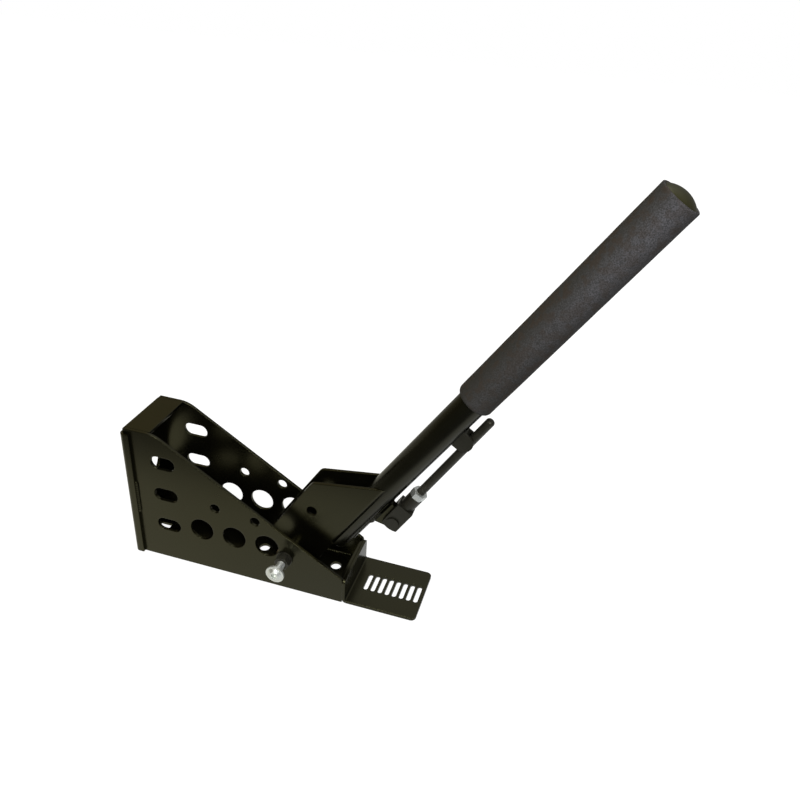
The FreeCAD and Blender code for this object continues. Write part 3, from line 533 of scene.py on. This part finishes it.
# %% [markdown]
# ## Weld beads
# The housing is stitched: short beads in the corners, each laid down as a row of
# overlapping drops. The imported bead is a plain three-sided bar, which says where a stitch
# runs and how thick it is. Bump on the bar would leave its outline straight, and copies of
# one drop would cut into each other. So a section is swept along it: a quarter round whose
# radius swells and shrinks once per drop, with a rounded start and end, all in one closed
# mesh.

# %% Packed stitches
JOINED = 0.002 * MM


def islands(mesh):
    """The separate solids of a mesh, each as a list of corner points."""
    work = bmesh.new()
    work.from_mesh(mesh)
    bmesh.ops.remove_doubles(work, verts=work.verts, dist=JOINED)
    left = set(work.verts)
    found = []
    for start in work.verts:
        if start not in left:
            continue
        left.remove(start)
        reached = [start]
        for vert in reached:
            for edge in vert.link_edges:
                other = edge.other_vert(vert)
                if other in left:
                    left.remove(other)
                    reached.append(other)
        found.append([vert.co.copy() for vert in reached])
    work.free()
    return sorted(found, key=lambda points: [round(c, 4) for c in min(map(tuple, points))])


def bead_of(points):
    """The inner corner line of a three-sided bar, and the two legs beside it."""
    spans = [max(p[axis] for p in points) - min(p[axis] for p in points) for axis in range(3)]
    run_axis = spans.index(max(spans))
    ends = sorted({round(p[run_axis], 6) for p in points})
    cap = [p for p in points if abs(p[run_axis] - ends[0]) < JOINED]
    corner = min(cap, key=lambda p: sum((p - q).length for q in cap))
    legs = [q - corner for q in cap if q is not corner]
    run = Vector((0, 0, 0))
    run[run_axis] = ends[-1] - ends[0]
    return corner, run, legs


stitches = islands(nodes["housing_welds"].data)
print(len(stitches), "stitches")


# %% One bead
DROP_PITCH = 2.3 * MM
BEAD_STEPS_PER_DROP = 8
BEAD_ARC = 8
BEAD_RIPPLE = 0.20
BEAD_UNEVEN = 0.06
BEAD_TIP = 0.15


def face_rows(work, rings):
    """Joins each ring of corners to the next with a row of four-sided faces."""
    for first, second in zip(rings, rings[1:]):
        for k in range(len(first)):
            after = (k + 1) % len(first)
            work.faces.new((first[k], first[after], second[after], second[k]))


def lay_bead(work, corner, run, legs, chance):
    """Sweeps a quarter round along a corner line, one swelling per drop."""
    drops = max(2, round(run.length / DROP_PITCH))
    steps = drops * BEAD_STEPS_PER_DROP
    swell = [1 - BEAD_UNEVEN * chance.random() for _ in range(drops + 1)]
    rings = []
    for step in range(steps + 1):
        share = step / steps
        drop = share * drops
        tip = min(1.0, min(drop, drops - drop) + BEAD_TIP)
        ripple = 1 - BEAD_RIPPLE * (1 - math.sin(math.pi * (drop % 1.0)))
        size = ripple * swell[int(drop)] * math.sqrt(tip)
        ring = []
        for turn in range(BEAD_ARC + 1):
            angle = math.pi / 2 * turn / BEAD_ARC
            outward = legs[0] * math.cos(angle) + legs[1] * math.sin(angle)
            ring.append(work.verts.new(corner + run * share + outward * size))
        ring.append(work.verts.new(corner + run * share))
        rings.append(ring)
    face_rows(work, rings)
    work.faces.new(rings[0])
    work.faces.new(reversed(rings[-1]))


print("a drop every", round(DROP_PITCH / MM, 1), "mm")


# %% Weld beads
def add_piece(name, work, body, material, slot, *replaced):
    """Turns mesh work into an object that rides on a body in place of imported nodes."""
    bmesh.ops.recalc_face_normals(work, faces=work.faces)
    for face in work.faces:
        face.smooth = True
    mesh = bpy.data.meshes.new(name)
    work.to_mesh(mesh)
    work.free()
    mesh.materials.append(material)
    piece = bpy.data.objects.new(name, mesh)
    bpy.context.scene.collection.objects.link(piece)
    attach(piece, body)
    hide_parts(*replaced)
    return piece


chance = random.Random(4)
beads = bmesh.new()
for points in stitches:
    lay_bead(beads, *bead_of(points), chance)
add_piece("stitch_beads", beads, "housing", sheet_coat, "black_powder_coat", "housing_welds")
print("beads laid")

# %% [markdown]
# ## Foam grip
# The grip is a sleeve of closed cell foam, slid over the tube. A cylinder with a bump would
# do for its skin, but not for its outline, which is never quite straight: it is turned here
# as a lathe form whose radius wanders by a tenth or two. Its lower end is rounded over and
# its upper end is cut square, with a thin standing lip. The skin is a dense field of pits
# and specks, which spread the light into a soft grey sheen.

# %% The lever's own axes
LEVER_LEAN = math.radians(32.9)
PIVOT = Vector((2.5, 0, 37)) * MM
LEVER_UP = Vector((math.sin(LEVER_LEAN), 0, math.cos(LEVER_LEAN)))
LEVER_ACROSS = Vector((math.cos(LEVER_LEAN), 0, -math.sin(LEVER_LEAN)))
SIDEWAYS = Vector((0, 1, 0))
TUBE_OFFSET_MM = 26.5
TUBE_AXIS = PIVOT + LEVER_ACROSS * TUBE_OFFSET_MM * MM
TUBE_END = 463.5 * MM
WANDER_LUMP = 14 * MM


def lathe(work, profile, sides, wander=0.0):
    """Turns a profile of (radius, height) points round the tube's axis, in metres."""
    rings = []
    for radius, rise in profile:
        centre = TUBE_AXIS + LEVER_UP * rise
        ring = []
        for k in range(sides):
            angle = 2 * math.pi * k / sides
            outward = LEVER_ACROSS * math.cos(angle) + SIDEWAYS * math.sin(angle)
            uneven = wander * noise.noise((centre + outward * radius) / WANDER_LUMP)
            ring.append(work.verts.new(centre + outward * (radius - wander + uneven)))
        rings.append(ring)
    face_rows(work, rings)
    return rings


print("lever leans", round(math.degrees(LEVER_LEAN), 1), "degrees")

# %% [markdown]
# ## Foam skin
# The grip is greyer along the middle of its sides and towards its top, and darker at the
# front and the rear. The lamps give a part of that. The rest is painted into the colour
# here: painted shade on the front and the rear, and a darker colour towards the lower end.
# The rest is painted here as wear from handling, which is a guess. One grey would look like
# painted metal, so the colour is mixed from the specks of the foam's cells, that painted
# shade and darkening, and brown clouds, which are stronger where the shade is painted. All
# of it is fixed to the foam itself and none of it to the view, so it stays in place when
# the lever moves or the camera does.

# %% Foam
FOAM_DARK = rgb(0.054, 0.054, 0.056)
FOAM_LIGHT = rgb(0.158, 0.154, 0.168)
# A darker foam colour, for the painted shade at the front and rear and for the lower end.
FOAM_DARKENED = rgb(0.038, 0.036, 0.029)
FOAM_BROWN = rgb(0.056, 0.042, 0.031)
FOAM_SPECKS = (0.34, 0.70)
FOAM_CLOUDS = (0.45, 0.62)
# Where along the lever the colour darkens towards the lower end, and how far.
LOW_DARKENING_SPAN = (0.28, 0.50)
LOW_END_SHARE = 0.38
HALF_GRIP = 16 * MM
MIDDLE_LINE = 2 * MM
# How far painted shade darkens the rear and the front of the grip.
REAR_SHADE_SHARE = 0.22
FRONT_SHADE_SHARE = 0.55


def foam():
    finish = Finish("black_foam", Specular_IOR_Level=0.15)
    pits = finish.cells(0.9 * MM)
    grain = finish.noise(1.0 * MM, detail=4.0, roughness=0.7)
    cloud = finish.noise(7 * MM, detail=3.0)
    # The colour darkens towards the grip's lower end.
    darker_low = finish.along(LEVER_UP).fade(*LOW_DARKENING_SPAN, LOW_END_SHARE, 1.0)
    # Painted shade: the front and the rear of the grip are darker than the middle of its sides.
    across = finish.along(LEVER_ACROSS) - TUBE_AXIS.dot(LEVER_ACROSS)
    rear_painted_shade = across.fade(-HALF_GRIP, MIDDLE_LINE, REAR_SHADE_SHARE, 1.0)
    front_painted_shade = across.fade(MIDDLE_LINE, HALF_GRIP, 1.0, FRONT_SHADE_SHARE)
    painted_side_shade = rear_painted_shade * front_painted_shade
    skin = finish.blend(grain.fade(*FOAM_SPECKS), FOAM_DARK, FOAM_LIGHT)
    # The painted shade and the darker lower end blend the skin towards the darker foam colour.
    darkened_skin = finish.blend(darker_low * painted_side_shade, FOAM_DARKENED, skin)
    # The brown clouds grow stronger where the shade is painted.
    browned = cloud.fade(*FOAM_CLOUDS) * (1 - painted_side_shade * 0.6) * 0.8
    finish.set("Base Color", finish.blend(browned, darkened_skin, FOAM_BROWN))
    finish.set("Roughness", grain * 0.2 + 0.62)
    finish.set("Normal", finish.bump(pits * 0.6 + grain, 0.25 * MM, 0.7))
    return finish.material


print("foam skin defined")


# %% Foam profile
FOAM_RADIUS = 16.6 * MM
FOAM_BORE = 13.1 * MM
FOAM_LOW = 245.5 * MM
FOAM_TOP = 464.6 * MM
FOAM_FOOT_ROUND = 3.2 * MM
FOAM_LIP_ROUND = 1.0 * MM
FOAM_STEP = 1.6 * MM
PLUG_RADIUS = 14.1 * MM
PLUG_PLAY = 0.15 * MM
RIM_WIDTH = 0.6 * MM
RIM_DEPTH = 0.4 * MM


def quarter(radius, low, high, turns=6):
    """Points of a rounded corner, from its start angle to its end angle."""
    angles = [low + (high - low) * k / turns for k in range(turns + 1)]
    return [(radius * math.sin(angle), radius * math.cos(angle)) for angle in angles]


foot = [
    (FOAM_RADIUS - FOAM_FOOT_ROUND + out, FOAM_LOW + FOAM_FOOT_ROUND - up)
    for out, up in quarter(FOAM_FOOT_ROUND, 0, math.pi / 2)
]
lip = [
    (FOAM_RADIUS - FOAM_LIP_ROUND + out, FOAM_TOP - FOAM_LIP_ROUND + up)
    for out, up in quarter(FOAM_LIP_ROUND, math.pi / 2, 0)
]
straight_steps = int((lip[0][1] - foot[-1][1]) / FOAM_STEP)
side_points = [
    (FOAM_RADIUS, foot[-1][1] + (lip[0][1] - foot[-1][1]) * k / straight_steps)
    for k in range(1, straight_steps)
]
seat = PLUG_RADIUS + PLUG_PLAY
rim = [(PLUG_RADIUS + RIM_WIDTH, FOAM_TOP), (seat, FOAM_TOP - RIM_DEPTH)]
bore = [(seat, TUBE_END), (FOAM_BORE, TUBE_END), (FOAM_BORE, FOAM_LOW)]
foam_profile = [(FOAM_BORE, FOAM_LOW)] + foot + side_points + lip + rim + bore
print(len(foam_profile), "points in the foam's profile")

# %% Foam sleeve
FOAM_SIDES = 96
FOAM_WANDER = 0.1 * MM
SEAM = 0.001 * MM

sleeve = bmesh.new()
lathe(sleeve, foam_profile, FOAM_SIDES, wander=FOAM_WANDER)
bmesh.ops.remove_doubles(sleeve, verts=sleeve.verts, dist=SEAM)
grip = add_piece("foam_sleeve", sleeve, "lever", foam(), "black_foam", "foam_grip")
print("foam", round((FOAM_TOP - FOAM_LOW) / MM), "mm long")

# %% [markdown]
# ## End plug
# A domed plastic plug closes the tube. A scaled sphere could stand for it, but its edge
# would not meet the foam's lip cleanly. The rim is hidden just below that lip and only the
# dome stands up, so the piece is turned from a rim, a small shoulder and an arc.

# %% Plug
PLUG_RISE = 5.6 * MM
PLUG_SHOULDER = 0.9 * MM
PLUG_FOOT = 12 * MM
PLUG_SIDES = 64
DOME_STEPS = 16

dome = PLUG_RISE - PLUG_SHOULDER
ball = (dome * dome + PLUG_RADIUS * PLUG_RADIUS) / (2 * dome)
reach = math.asin(PLUG_RADIUS / ball)
leans = [reach * (1 - k / DOME_STEPS) for k in range(DOME_STEPS)]
arc = [
    (ball * math.sin(lean), TUBE_END + PLUG_RISE - ball * (1 - math.cos(lean)))
    for lean in leans
]
cap = bmesh.new()
rings = lathe(cap, [(PLUG_FOOT, TUBE_END), (PLUG_RADIUS, TUBE_END)] + arc, PLUG_SIDES)
cap.faces.new(rings[0])
cap.faces.new(rings[-1])
add_piece("end_plug", cap, "lever", FINISHES["black_plastic"], "black_plastic", "grip_end_plug")
print("plug", round(2 * PLUG_RADIUS / MM, 1), "mm across")
